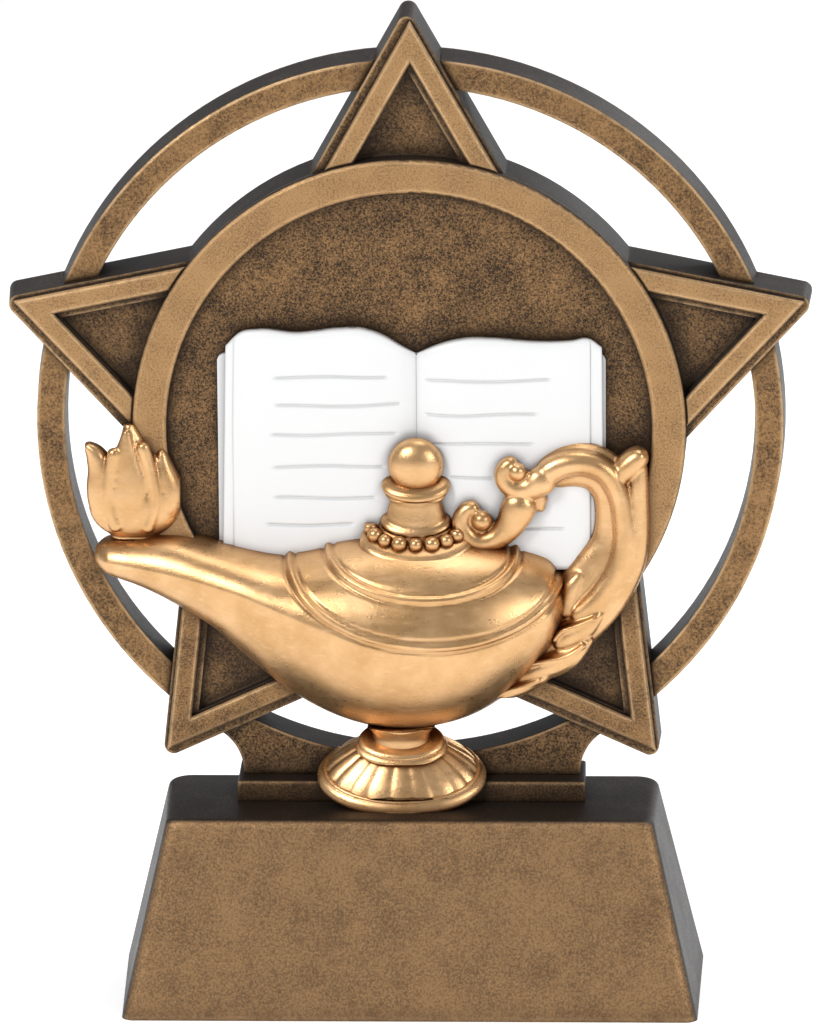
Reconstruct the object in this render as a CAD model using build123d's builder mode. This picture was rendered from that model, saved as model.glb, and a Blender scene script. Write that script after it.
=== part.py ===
from build123d import *
import os
from math import cos, radians, sin, sqrt, tan

# Star trophy: a cast resin award. A sloping base carries a riser block and a
# neck, which hold a thin outer ring. A five-pointed star plate is lapped into
# the ring, with a round medallion, an open book and an oil lamp in relief.
#
# Millimetres. +Z is up and the award faces -Y. The origin is the centre of the
# base's underside.

# Base
BASE_HEIGHT = 31.0
BASE_HALF_DEPTH = 19.0
BASE_FRONT_HALF_WIDTH = 45.6
BASE_BACK_HALF_WIDTH = 46.8
BASE_TOP_FRONT_Y = -12.0
BASE_TOP_BACK_Y = 14.0
BASE_TOP_FRONT_HALF_WIDTH = 38.5
BASE_TOP_BACK_HALF_WIDTH = 39.4
BASE_FRONT_CORNER = 2.0
BASE_BACK_CORNER = 4.0
BASE_TOP_EDGE = 1.2
# The front is cut flat from a body that first stands this much further forward.
BASE_FRONT_STOCK = 0.4

# Felt pad, let into the underside
FELT_THICKNESS = 1.0
FELT_INSET = 3.0
FELT_CORNER = 4.0
FELT_CLEARANCE = 0.2

# Riser block and the hidden locating pins
RISER_HALF_WIDTH = 27.7
RISER_FRONT = -1.5
RISER_HEIGHT = 3.4
RISER_TOP = BASE_HEIGHT + RISER_HEIGHT
RISER_EDGE = 0.4
PIN_RADIUS = 1.5
PIN_X = 21.0
PIN_Y = 6.5
PIN_BOTTOM = 22.0
PIN_TOP = 38.5

# Depths shared by the upright parts
BACK = 10.5
RING_FRONT = 2.5
LAP = 6.5
PLATE_FRONT = 1.0
FRAME_FRONT = -0.3
RIM_FRONT = -1.0

# Centre of the ring, star and medallion
CENTRE_Z = 92.0

# Outer ring and neck
RING_INNER = 54.6
RING_OUTER = 59.0
RING_DRAFT = 0.5
NECK_FOOT_HALF_WIDTH = 26.9
NECK_TOP_HALF_WIDTH = 31.4
NECK_WAIST = (27.6, 38.2)
NECK_HALF_ANGLE = 36.0

# Star
STAR_HALF_ANGLE = 29.5
FRAME_REACH = 65.6
FRAME_STRIP = 3.3
FRAME_EDGE = 0.3
PLATE_MARGIN = 1.0
PLATE_TIP_RADIUS = 1.5
PLATE_DRAFT = 0.33
POCKET_LEDGE = 0.6
POCKET_DEPTH = 1.5
FRAME_SHIFT = 0.5
ARM_LENGTH = 34.0
STAR_ARMS = (
    ("top", 90.0, -1),
    ("upper_right", 18.0, 1),
    ("upper_left", 162.0, -1),
    ("lower_left", 234.0, -1),
    ("lower_right", 306.0, 1),
)

# Medallion
RIM_OUTER = 43.7
RIM_INNER = 38.25
RIM_EDGE = 0.5
DISC_RADIUS = 41.0
DISC_THICKNESS = 1.5

# Book
BOOK_BOTTOM = 69.5
BOOK_LEFT = -30.2
BOOK_RIGHT = 31.0
BOOK_GUTTER = 1.2
BOOK_COVER = 0.8
PAGE_BLOCK = 1.4
TOP_PAGE = 0.6
COVER_TOP = 104.2
COVER_CORNER = 1.2
BOOK_LEFT_CORNER = (-28.8, 105.3)
BOOK_RIGHT_CORNER = (BOOK_RIGHT, 104.8)
BOOK_GUTTER_TOP = (BOOK_GUTTER, 104.4)
BOOK_LEFT_TOP = (BOOK_LEFT_CORNER, (-26.2, 107.9), (-17.5, 107.8), (-8.5, 108.6), BOOK_GUTTER_TOP)
BOOK_RIGHT_TOP = (BOOK_GUTTER_TOP, (9.5, 107.1), (20.0, 106.4), (28.8, 106.9), BOOK_RIGHT_CORNER)
# A page's front runs from the gutter to its crown, then falls to the fore edge.
CROWN_FROM_GUTTER = 8.0
FORE_EDGE_BEVEL = 2.4
BLOCK_AT_GUTTER = 0.4
BLOCK_AT_FORE_EDGE = 0.8
LEAF_AT_GUTTER = 0.8
LEAF_AT_FORE_EDGE = 1.4
# Stock that the open book's outline is cut from.
PAGE_STOCK_DEPTH = 4.4
PAGE_STOCK_HEIGHT = 41.0

# Lamp body: x, top, widest height, bottom and front of each section
LAMP_BACK = 1.0
BOWL_SECTIONS = (
    (-50.0, 73.9, 71.4, 69.3, -3.0),
    (-43.0, 75.1, 70.4, 66.3, -5.0),
    (-31.5, 74.0, 68.0, 59.6, -8.0),
    (-20.0, 72.4, 64.8, 49.8, -11.2),
    (-9.0, 74.0, 60.9, 44.2, -13.6),
    (3.0, 75.2, 59.6, 43.5, -14.2),
    (14.0, 73.6, 60.8, 47.6, -12.4),
    (21.0, 71.6, 62.6, 52.0, -9.2),
    (26.0, 69.2, 63.6, 57.6, -5.0),
)
SPOUT_ROOT = -24.0
LID_X = 1.9
LID_Z = 74.0
LID_OUTER = (21.0, 14.6)
LID_INNER = (15.6, 8.6)
PLUG_DEPTH = 30.0

# How far round details lean forwards, and how much the relief flattens them
LEAN = 33.5
FLATTEN = 0.59

# Finial
FINIAL_X = 1.1
FINIAL_Y = -2.6
LID_RIM_Y = -3.8
LID_RIM_RADIUS = 8.9
LID_RIM_Z = 73.6
LID_RIM_HEIGHT = 2.2
LID_RIM_EDGE = 0.9
BEAD_RADIUS = 1.12
BEAD_COUNT = 8
BEAD_PATH_RADIUS = 7.3
BEAD_Z = 77.0
FINIAL_NECK_Z = 74.6
FINIAL_NECK_SECTIONS = ((0, 6.6), (2.4, 5.6), (5.4, 4.1), (8.4, 4.3))
COLLAR_RADIUS = 5.4
COLLAR_Z = 83.4
COLLAR_HEIGHT = 1.8
COLLAR_EDGE = 0.8
BALL_RADIUS = 4.35
BALL_Z = 86.9

# Handle
HANDLE_PATH = (
    (18.6, 84.6),
    (25.6, 86.5),
    (33.3, 79.6),
    (32.2, 69.0),
    (24.8, 59.6),
)
HANDLE_Y = -1.4
HANDLE_HALF_WIDTH = 4.1
HANDLE_HALF_DEPTH = 3.4
UPPER_SCROLL = (16.3, 84.9, 3.3)
LOWER_SCROLL = (10.9, 76.8, 4.1)
SCROLL_FRONT = -5.4
SCROLL_EDGE = 0.8
SCROLL_STEM_OUTLINE = ((20.6, 84.0), (17.4, 80.6), (13.6, 80.4), (14.6, 75.4), (18.4, 77.4), (22.4, 81.0))
SCROLL_STEM_FRONT = -4.4
SPUR_OUTLINE = ((36.6, 83.0), (38.1, 89.0), (37.2, 90.4), (33.2, 88.4), (30.6, 87.0))
SPUR_FRONT = -3.2
HANDLE_LEAVES = {
    "handle_leaf_upper": (((23.6, 60.4), (27.0, 60.4), (31.4, 62.6), (30.0, 59.4), (26.2, 57.2)), -4.6),
    "handle_leaf_middle": (((19.6, 56.8), (23.0, 57.8), (27.6, 58.4), (26.0, 55.0), (21.0, 53.6)), -4.6),
    "handle_leaf_lower": (((15.4, 52.6), (18.6, 54.2), (24.4, 55.0), (21.6, 51.6), (17.0, 49.6)), -4.2),
}

# Flame
FLAME_X = -43.6
FLAME_BOTTOM = 74.4
FLAME_FLATTEN = 0.62
FLAME_SECTIONS = ((0, 3.0), (1.7, 5.8), (6.0, 7.3), (12.6, 4.4), (18.9, 0.6))
TONGUE_Y = -0.6
LEFT_TONGUE = ((-48.0, 80.0, 2.6), (-48.8, 85.0, 2.0), (-50.4, 89.6, 0.8))
RIGHT_TONGUE = ((-38.8, 80.0, 2.6), (-38.6, 85.0, 1.8), (-38.6, 89.4, 0.6))

# Stem and foot
FOOT_X = -1.5
FOOT_Y = -0.9
FOOT_Z = 35.6
FOOT_RIM_RADIUS = 13.6
FOOT_RIM_HEIGHT = 2.4
FOOT_RIM_EDGE = 1.1
BELL_RISE = 1.4
BELL_SECTIONS = ((0, 12.4), (2.6, 10.2), (5.0, 7.0))
STEM_Y = -1.7
STEM_RING_RADIUS = 7.4
STEM_RING_HEIGHT = 1.8
STEM_RING_EDGE = 0.8
STEM_RING_Z = 41.0
STEM_Z = 40.2
STEM_SECTIONS = ((0, 5.4), (1.8, 4.6), (4.0, 5.6), (6.4, 7.0))


def upright_plane(y):
    """The vertical plane at depth y: local x is X, local y is Z, normal is -Y."""
    return Plane.XZ.offset(-y)


def centre_plane(y):
    """The vertical plane at depth y, with its origin on the star's centre line."""
    return Plane(origin=(0, y, CENTRE_Z), x_dir=(1, 0, 0), z_dir=(0, -1, 0))


def arm_triangle(reach, shift=0.0):
    """One star arm along local +X: a triangle with its tip at the reach."""
    half = ARM_LENGTH * tan(radians(STAR_HALF_ANGLE))
    Polygon(
        (reach, shift),
        (reach - ARM_LENGTH, shift + half),
        (reach - ARM_LENGTH, shift - half),
        align=None,
    )


def tip_reach(inset):
    """Reach of a star arm whose edges lie this far inside the gold frame's."""
    return FRAME_REACH - inset / sin(radians(STAR_HALF_ANGLE))


def star_outline(y, grow):
    """The star plate's rounded outline, with its round middle, at depth y."""
    with BuildSketch(centre_plane(y)) as outline:
        with PolarLocations(0, len(STAR_ARMS), start_angle=90):
            arm_triangle(tip_reach(-PLATE_MARGIN - grow))
        middle = outline.sketch
        tips = outline.vertices().group_by(lambda v: round((v.center() - middle.center()).length, 1))[-1]
        fillet(tips, PLATE_TIP_RADIUS)
        Circle(RIM_OUTER + grow)
    return outline.sketch


def relief_plane(x, y, z):
    """The plane of a round detail in the relief: it leans down towards the front."""
    return Plane(origin=(x, y, z), x_dir=(1, 0, 0), z_dir=(0, -sin(radians(LEAN)), cos(radians(LEAN))))


def relief_disc(disc, x, y, z, radius, thickness, edge):
    """Inside a part's block: a leaning, flattened disc with rounded edges."""
    with BuildSketch(relief_plane(x, y, z)) as outline:
        Ellipse(radius, radius * FLATTEN)
    extrude(outline.sketch, amount=thickness / 2, both=True)
    fillet(disc.edges(), edge)


def relief_stack(x, y, z, sections, depth_scale):
    """Inside a part's block: a smooth upright shape through flattened round sections."""
    outlines = []
    for height, radius in sections:
        with BuildSketch(Plane(origin=(x, y, z + height))) as outline:
            Ellipse(radius, radius * depth_scale)
        outlines.append(outline.sketch)
    loft(outlines)


def boxes_meet(first, second):
    """Whether the bounding boxes of two parts reach each other."""
    a = first.bounding_box()
    b = second.bounding_box()
    lows = (max(a.min.X, b.min.X), max(a.min.Y, b.min.Y), max(a.min.Z, b.min.Z))
    highs = (min(a.max.X, b.max.X), min(a.max.Y, b.max.Y), min(a.max.Z, b.max.Z))
    return all(low < high for low, high in zip(lows, highs))


def trim(piece, neighbours, back=LAMP_BACK):
    """Keep the part of a piece in front of a depth and clear of its neighbours."""
    split(bisect_by=upright_plane(back), keep=Keep.TOP)
    near = [neighbour.part for neighbour in neighbours if boxes_meet(piece.part, neighbour.part)]
    if near:
        add(near, mode=Mode.SUBTRACT)
    largest = piece.part.solids().sort_by(SortBy.VOLUME)[-1]
    add(largest, mode=Mode.REPLACE)


# ---------------------------------------------------------------- base

def base_outline(front_y, back_y, front_half, back_half):
    """A four-sided outline that is a little wider at the back."""
    Polygon(
        (-front_half, front_y),
        (front_half, front_y),
        (back_half, back_y),
        (-back_half, back_y),
        align=None,
    )


def felt_outline(clearance):
    """The felt pad's outline, or its recess when a clearance is added."""
    inset = FELT_INSET - clearance
    depth = BASE_HALF_DEPTH - inset
    base_outline(-depth, depth, BASE_FRONT_HALF_WIDTH - inset, BASE_BACK_HALF_WIDTH - inset)


BASE_FRONT_PLANE = Plane(
    origin=(0, -BASE_HALF_DEPTH, 0),
    x_dir=(1, 0, 0),
    z_dir=(0, -BASE_HEIGHT, BASE_HALF_DEPTH + BASE_TOP_FRONT_Y),
)

with BuildPart() as base_block:
    with BuildSketch():
        base_outline(
            -BASE_HALF_DEPTH - BASE_FRONT_STOCK,
            BASE_HALF_DEPTH,
            BASE_FRONT_HALF_WIDTH,
            BASE_BACK_HALF_WIDTH,
        )
    with BuildSketch(Plane.XY.offset(BASE_HEIGHT)):
        base_outline(
            BASE_TOP_FRONT_Y - BASE_FRONT_STOCK,
            BASE_TOP_BACK_Y,
            BASE_TOP_FRONT_HALF_WIDTH,
            BASE_TOP_BACK_HALF_WIDTH,
        )
    loft(ruled=True)
    split(bisect_by=BASE_FRONT_PLANE, keep=Keep.BOTTOM)
    corners = base_block.edges().filter_by(Plane.XY, reverse=True)
    fillet(corners.group_by(Axis.Y)[0], BASE_FRONT_CORNER)
    corners = base_block.edges().filter_by(Plane.XY, reverse=True)
    fillet(corners.group_by(Axis.Y)[-1], BASE_BACK_CORNER)
    fillet(base_block.faces().sort_by(Axis.Z)[-1].edges(), BASE_TOP_EDGE)
    with BuildSketch() as recess:
        felt_outline(FELT_CLEARANCE)
        fillet(recess.vertices(), FELT_CORNER)
    extrude(amount=FELT_THICKNESS, mode=Mode.SUBTRACT)
    with BuildSketch(Plane.XY.offset(PIN_BOTTOM)):
        with Locations((-PIN_X, PIN_Y), (PIN_X, PIN_Y)):
            Circle(PIN_RADIUS)
    extrude(amount=BASE_HEIGHT - PIN_BOTTOM, mode=Mode.SUBTRACT)

with BuildPart() as base_felt_pad:
    with BuildSketch() as pad:
        felt_outline(0)
        fillet(pad.vertices(), FELT_CORNER)
    extrude(amount=FELT_THICKNESS)

with BuildPart() as locating_pins:
    with BuildSketch(Plane.XY.offset(PIN_BOTTOM)):
        with Locations((-PIN_X, PIN_Y), (PIN_X, PIN_Y)):
            Circle(PIN_RADIUS)
    extrude(amount=PIN_TOP - PIN_BOTTOM)

with BuildPart() as riser_block:
    with BuildSketch(upright_plane(BACK)):
        with Locations((0, BASE_HEIGHT + RISER_HEIGHT / 2)):
            Rectangle(2 * RISER_HALF_WIDTH, RISER_HEIGHT)
    extrude(amount=BACK - RISER_FRONT)
    rim_edges = riser_block.faces().sort_by(Axis.Z)[-1].edges()
    fillet(rim_edges.sort_by(Axis.Y)[:-1], RISER_EDGE)
    add(locating_pins.part, mode=Mode.SUBTRACT)

# ---------------------------------------------------------------- neck and ring

with BuildPart() as star_blank:
    add(star_outline(BACK, PLATE_DRAFT))
    add(star_outline(PLATE_FRONT, 0.0))
    loft(ruled=True)

with BuildPart() as star_lap:
    add(star_blank.part)
    split(bisect_by=upright_plane(LAP), keep=Keep.TOP)

with BuildPart() as ring_neck:
    seam = radians(NECK_HALF_ANGLE)
    outer_seam = (RING_OUTER * sin(seam), CENTRE_Z - RING_OUTER * cos(seam))
    inner_seam = (RING_INNER * sin(seam), CENTRE_Z - RING_INNER * cos(seam))
    shoulder_drop = sqrt(RING_OUTER ** 2 - NECK_TOP_HALF_WIDTH ** 2)
    shoulder = (NECK_TOP_HALF_WIDTH, CENTRE_Z - shoulder_drop)
    with BuildSketch(upright_plane(BACK)) as web:
        with BuildLine():
            Line((0, RISER_TOP), (NECK_FOOT_HALF_WIDTH, RISER_TOP))
            ThreePointArc((NECK_FOOT_HALF_WIDTH, RISER_TOP), NECK_WAIST, shoulder)
            RadiusArc(shoulder, outer_seam, -RING_OUTER)
            Line(outer_seam, inner_seam)
            RadiusArc(inner_seam, (0, CENTRE_Z - RING_INNER), RING_INNER)
            Line((0, CENTRE_Z - RING_INNER), (0, RISER_TOP))
        make_face()
        mirror(about=Plane.YZ)
    extrude(amount=BACK - RING_FRONT)
    add([locating_pins.part, star_lap.part], mode=Mode.SUBTRACT)

with BuildPart() as ring_band:
    with BuildSketch(Plane.YZ):
        Polygon(
            (RING_FRONT, CENTRE_Z + RING_INNER),
            (RING_FRONT, CENTRE_Z + RING_OUTER),
            (BACK, CENTRE_Z + RING_OUTER + RING_DRAFT),
            (BACK, CENTRE_Z + RING_INNER),
            align=None,
        )
    revolve(axis=Axis((0, 0, CENTRE_Z), (0, 1, 0)))

with BuildPart() as ring_back:
    add(ring_band.part)
    split(bisect_by=upright_plane(LAP), keep=Keep.BOTTOM)

with BuildPart() as outer_ring:
    add(ring_band.part)
    with BuildSketch(centre_plane(BACK)):
        spread = 2 * RING_OUTER * tan(radians(NECK_HALF_ANGLE))
        Polygon((0, 0), (-spread, -2 * RING_OUTER), (spread, -2 * RING_OUTER), align=None)
    extrude(amount=BACK - RING_FRONT, mode=Mode.SUBTRACT)
    add(star_lap.part, mode=Mode.SUBTRACT)

# ---------------------------------------------------------------- star and medallion

with BuildPart() as star_plate:
    add(star_blank.part)
    with BuildSketch(centre_plane(PLATE_FRONT)):
        with PolarLocations(0, len(STAR_ARMS), start_angle=90):
            arm_triangle(tip_reach(FRAME_STRIP + POCKET_LEDGE))
        Circle(RIM_OUTER, mode=Mode.SUBTRACT)
    extrude(amount=-POCKET_DEPTH, mode=Mode.SUBTRACT)
    with BuildSketch(centre_plane(PLATE_FRONT)):
        Circle(DISC_RADIUS)
    extrude(amount=-DISC_THICKNESS, mode=Mode.SUBTRACT)
    add(ring_back.part, mode=Mode.SUBTRACT)


def star_frame(angle, side):
    """The raised V-shaped gold strip along the two edges of one star arm."""
    with BuildPart() as frame:
        with BuildSketch(centre_plane(PLATE_FRONT)):
            with PolarLocations(0, 1, start_angle=angle):
                arm_triangle(FRAME_REACH, side * FRAME_SHIFT)
            with PolarLocations(0, 1, start_angle=angle):
                half = ARM_LENGTH * tan(radians(STAR_HALF_ANGLE))
                inner = tip_reach(FRAME_STRIP)
                Polygon(
                    (inner, side * FRAME_SHIFT),
                    (inner - ARM_LENGTH, side * FRAME_SHIFT + half),
                    (inner - ARM_LENGTH, side * FRAME_SHIFT - half),
                    align=None,
                    mode=Mode.SUBTRACT,
                )
            Circle(RIM_OUTER, mode=Mode.SUBTRACT)
        extrude(amount=PLATE_FRONT - FRAME_FRONT)
        chamfer(frame.faces().sort_by(Axis.Y)[0].edges(), FRAME_EDGE)
    return frame


star_frames = {name: star_frame(angle, side) for name, angle, side in STAR_ARMS}

with BuildPart() as medallion_disc:
    with BuildSketch(centre_plane(PLATE_FRONT)):
        Circle(DISC_RADIUS)
    extrude(amount=-DISC_THICKNESS)

with BuildPart() as medallion_rim:
    with BuildSketch(centre_plane(PLATE_FRONT)):
        Circle(RIM_OUTER)
        Circle(RIM_INNER, mode=Mode.SUBTRACT)
    extrude(amount=PLATE_FRONT - RIM_FRONT)
    fillet(medallion_rim.faces().sort_by(Axis.Y)[0].edges(), RIM_EDGE)

# ---------------------------------------------------------------- book

def book_front(front, back):
    """The open book's outline seen from the front, as a solid between two depths."""
    with BuildPart() as outline:
        with BuildSketch(upright_plane(back)):
            with BuildLine():
                Line((BOOK_LEFT, BOOK_BOTTOM), BOOK_LEFT_CORNER)
                Spline(*BOOK_LEFT_TOP)
                Spline(*BOOK_RIGHT_TOP)
                Line(BOOK_RIGHT_CORNER, (BOOK_RIGHT, BOOK_BOTTOM))
                Line((BOOK_RIGHT, BOOK_BOTTOM), (BOOK_LEFT, BOOK_BOTTOM))
            make_face()
        extrude(amount=back - front)
    return outline.part


def page_solid(side, edge_x, gutter_y, crown_y, fore_y):
    """A page stack or leaf: its curved plan profile drawn upwards over the book's height."""
    with BuildPart() as pages:
        with BuildSketch(Plane.XY.offset(BOOK_BOTTOM)):
            with BuildLine():
                Spline(
                    (BOOK_GUTTER, gutter_y),
                    (BOOK_GUTTER + side * CROWN_FROM_GUTTER, crown_y),
                    (edge_x, fore_y),
                )
                Line((edge_x, fore_y), (edge_x, COVER_FRONT))
                Line((edge_x, COVER_FRONT), (BOOK_GUTTER, COVER_FRONT))
                Line((BOOK_GUTTER, COVER_FRONT), (BOOK_GUTTER, gutter_y))
            make_face()
        extrude(amount=PAGE_STOCK_HEIGHT)
    return pages.part


COVER_FRONT = PLATE_FRONT - BOOK_COVER
BLOCK_FRONT = COVER_FRONT - PAGE_BLOCK
book_body = book_front(COVER_FRONT - PAGE_STOCK_DEPTH, COVER_FRONT)

with BuildPart() as book_cover:
    with BuildSketch(upright_plane(PLATE_FRONT)):
        with Locations(((BOOK_LEFT + BOOK_RIGHT) / 2, (BOOK_BOTTOM + COVER_TOP) / 2)):
            RectangleRounded(BOOK_RIGHT - BOOK_LEFT, COVER_TOP - BOOK_BOTTOM, COVER_CORNER)
    extrude(amount=BOOK_COVER)


def page_pair(side, edge_x):
    """The page block and the top leaf of one side of the book."""
    with BuildPart() as block:
        add(
            page_solid(
                side,
                edge_x,
                COVER_FRONT - BLOCK_AT_GUTTER,
                BLOCK_FRONT,
                COVER_FRONT - BLOCK_AT_FORE_EDGE,
            )
        )
        add(book_body, mode=Mode.INTERSECT)
    with BuildPart() as leaf:
        add(
            page_solid(
                side,
                edge_x - side * FORE_EDGE_BEVEL,
                COVER_FRONT - LEAF_AT_GUTTER,
                BLOCK_FRONT - TOP_PAGE,
                COVER_FRONT - LEAF_AT_FORE_EDGE,
            )
        )
        add(book_body, mode=Mode.INTERSECT)
        add(block.part, mode=Mode.SUBTRACT)
    return block, leaf


book_pages_left, book_top_page_left = page_pair(-1, BOOK_LEFT)
book_pages_right, book_top_page_right = page_pair(1, BOOK_RIGHT)
BOOK = (book_cover, book_pages_left, book_pages_right, book_top_page_left, book_top_page_right)
BEHIND_LAMP = (medallion_rim, *star_frames.values(), *BOOK)


# ---------------------------------------------------------------- lamp body and lid

with BuildPart() as lamp_body:
    for x, top, widest, bottom, front in BOWL_SECTIONS:
        with BuildSketch(Plane.YZ.offset(x)):
            with BuildLine():
                Spline(
                    (LAMP_BACK + 1, top),
                    (front, widest),
                    (LAMP_BACK + 1, bottom),
                    tangents=((-1, -0.25), (1, 0)),
                )
                Line((LAMP_BACK + 1, bottom), (LAMP_BACK + 1, top))
            make_face()
    loft()
    trim(lamp_body, BEHIND_LAMP)


def lid_plug(radii):
    """An elliptical plug through the lamp body that marks out one step of the lid."""
    with BuildPart() as plug:
        with BuildSketch(Plane(origin=(LID_X, LAMP_BACK, LID_Z), x_dir=(1, 0, 0), z_dir=(0, -1, 0))):
            Ellipse(*radii)
        extrude(amount=PLUG_DEPTH)
    return plug.part


outer_plug = lid_plug(LID_OUTER)
inner_plug = lid_plug(LID_INNER)

with BuildPart() as lamp_spout:
    add(lamp_body.part)
    split(bisect_by=Plane.YZ.offset(SPOUT_ROOT), keep=Keep.BOTTOM)

with BuildPart() as lamp_bowl:
    add(lamp_body.part)
    split(bisect_by=Plane.YZ.offset(SPOUT_ROOT), keep=Keep.TOP)
    add(outer_plug, mode=Mode.SUBTRACT)

with BuildPart() as lamp_lid_outer:
    add(lamp_body.part)
    add(outer_plug, mode=Mode.INTERSECT)
    add(inner_plug, mode=Mode.SUBTRACT)

with BuildPart() as lamp_lid_inner:
    add(lamp_body.part)
    add(inner_plug, mode=Mode.INTERSECT)

BODY = (lamp_spout, lamp_bowl, lamp_lid_outer, lamp_lid_inner)

# ---------------------------------------------------------------- finial

with BuildPart() as lamp_lid_rim:
    relief_disc(lamp_lid_rim, FINIAL_X, LID_RIM_Y, LID_RIM_Z, LID_RIM_RADIUS, LID_RIM_HEIGHT, LID_RIM_EDGE)
    trim(lamp_lid_rim, (*BEHIND_LAMP, *BODY))

with BuildPart() as finial_neck:
    relief_stack(FINIAL_X, FINIAL_Y, FINIAL_NECK_Z, FINIAL_NECK_SECTIONS, FLATTEN)
    trim(finial_neck, (*BEHIND_LAMP, *BODY, lamp_lid_rim))

with BuildPart() as finial_collar:
    relief_disc(finial_collar, FINIAL_X, FINIAL_Y, COLLAR_Z, COLLAR_RADIUS, COLLAR_HEIGHT, COLLAR_EDGE)
    trim(finial_collar, (*BEHIND_LAMP, finial_neck))

with BuildPart() as finial_ball:
    with Locations((FINIAL_X, FINIAL_Y, BALL_Z)):
        Sphere(BALL_RADIUS)
    trim(finial_ball, (*BEHIND_LAMP, finial_neck, finial_collar))

with BuildLine(relief_plane(FINIAL_X, FINIAL_Y, BEAD_Z)) as bead_path:
    EllipticalCenterArc((0, 0), BEAD_PATH_RADIUS, BEAD_PATH_RADIUS * FLATTEN, 180, arc_size=180)
bead_centres = [bead_path.line @ ((index + 0.5) / BEAD_COUNT) for index in range(BEAD_COUNT)]

with BuildPart() as bead_string:
    with Locations(*bead_centres):
        Sphere(BEAD_RADIUS, rotation=(90, 0, 0))
    near_beads = (lamp_bowl, lamp_lid_outer, lamp_lid_inner, lamp_lid_rim, finial_neck, *BOOK)
    add([neighbour.part for neighbour in near_beads], mode=Mode.SUBTRACT)

FINIAL = (lamp_lid_rim, finial_neck, finial_collar, finial_ball, bead_string)

# ---------------------------------------------------------------- handle

with BuildPart() as lamp_handle:
    with BuildLine(upright_plane(HANDLE_Y)) as path:
        Spline(*HANDLE_PATH, tangents=((1, 0.6), (-0.8, -0.7)))
    with BuildSketch(Plane(origin=path.line @ 0, z_dir=path.line % 0, x_dir=(0, 1, 0))):
        Ellipse(HANDLE_HALF_DEPTH, HANDLE_HALF_WIDTH)
    sweep()
    trim(lamp_handle, (*BEHIND_LAMP, *BODY, *FINIAL))


def raised_shape(points, front):
    """Inside a part's block: a closed smooth outline drawn forwards from the lamp's back."""
    with BuildSketch(upright_plane(LAMP_BACK)) as outline:
        with BuildLine():
            Spline(*points, periodic=True)
        make_face()
    extrude(outline.sketch, amount=LAMP_BACK - front)


def scroll_disc(scroll, centre_x, centre_z, radius):
    """Inside a part's block: a round scroll end with a softened front edge."""
    with BuildSketch(upright_plane(LAMP_BACK)) as outline:
        with Locations((centre_x, centre_z)):
            Circle(radius)
    extrude(outline.sketch, amount=LAMP_BACK - SCROLL_FRONT)
    fillet(scroll.faces().sort_by(Axis.Y)[0].edges(), SCROLL_EDGE)


with BuildPart() as handle_thumb_spur:
    raised_shape(SPUR_OUTLINE, SPUR_FRONT)
    trim(handle_thumb_spur, (*BEHIND_LAMP, lamp_handle))

with BuildPart() as handle_upper_scroll:
    scroll_disc(handle_upper_scroll, *UPPER_SCROLL)
    trim(handle_upper_scroll, (*BEHIND_LAMP, *FINIAL, lamp_handle))

with BuildPart() as handle_lower_scroll:
    scroll_disc(handle_lower_scroll, *LOWER_SCROLL)
    trim(handle_lower_scroll, (*BEHIND_LAMP, *BODY, *FINIAL, lamp_handle))

with BuildPart() as handle_scroll_stem:
    raised_shape(SCROLL_STEM_OUTLINE, SCROLL_STEM_FRONT)
    trim(
        handle_scroll_stem,
        (*BEHIND_LAMP, *BODY, *FINIAL, lamp_handle, handle_upper_scroll, handle_lower_scroll),
    )


leaves = {}
for leaf_name, (leaf_outline, leaf_front) in HANDLE_LEAVES.items():
    with BuildPart() as leaf:
        raised_shape(leaf_outline, leaf_front)
        trim(leaf, (*BEHIND_LAMP, *BODY, lamp_handle, handle_lower_scroll, *leaves.values()))
    leaves[leaf_name] = leaf

# ---------------------------------------------------------------- flame

with BuildPart() as flame_core:
    relief_stack(FLAME_X, LAMP_BACK, FLAME_BOTTOM, FLAME_SECTIONS, FLAME_FLATTEN)
    trim(flame_core, (*BEHIND_LAMP, *BODY))


def flame_tongue(sections):
    """A side tongue of flame, lofted upwards through round sections to a blunt tip."""
    with BuildPart() as tongue:
        for x, z, radius in sections:
            with BuildSketch(Plane.XY.offset(z)):
                with Locations((x, TONGUE_Y)):
                    Circle(radius)
        loft()
        trim(tongue, (*BEHIND_LAMP, *BODY, flame_core))
    return tongue


flame_left_tongue = flame_tongue(LEFT_TONGUE)
flame_right_tongue = flame_tongue(RIGHT_TONGUE)

# ---------------------------------------------------------------- stem and foot

SUPPORTS = (riser_block, ring_neck, base_block)

with BuildPart() as foot_rim:
    relief_disc(foot_rim, FOOT_X, FOOT_Y, FOOT_Z, FOOT_RIM_RADIUS, FOOT_RIM_HEIGHT, FOOT_RIM_EDGE)
    trim(foot_rim, SUPPORTS, RING_FRONT)

with BuildPart() as lamp_foot:
    for height, radius in BELL_SECTIONS:
        with BuildSketch(relief_plane(FOOT_X, FOOT_Y, FOOT_Z + BELL_RISE + height)):
            Ellipse(radius, radius * FLATTEN)
    loft()
    trim(lamp_foot, (*SUPPORTS, foot_rim, lamp_bowl), RING_FRONT)

with BuildPart() as stem_ring:
    relief_disc(stem_ring, FOOT_X, STEM_Y, STEM_RING_Z, STEM_RING_RADIUS, STEM_RING_HEIGHT, STEM_RING_EDGE)
    trim(stem_ring, (*SUPPORTS, lamp_foot, lamp_bowl), RING_FRONT)

with BuildPart() as lamp_stem:
    relief_stack(FOOT_X, STEM_Y, STEM_Z, STEM_SECTIONS, FLATTEN)
    trim(lamp_stem, (*SUPPORTS, lamp_foot, stem_ring, *BODY), RING_FRONT)

# ---------------------------------------------------------------- files

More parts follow.
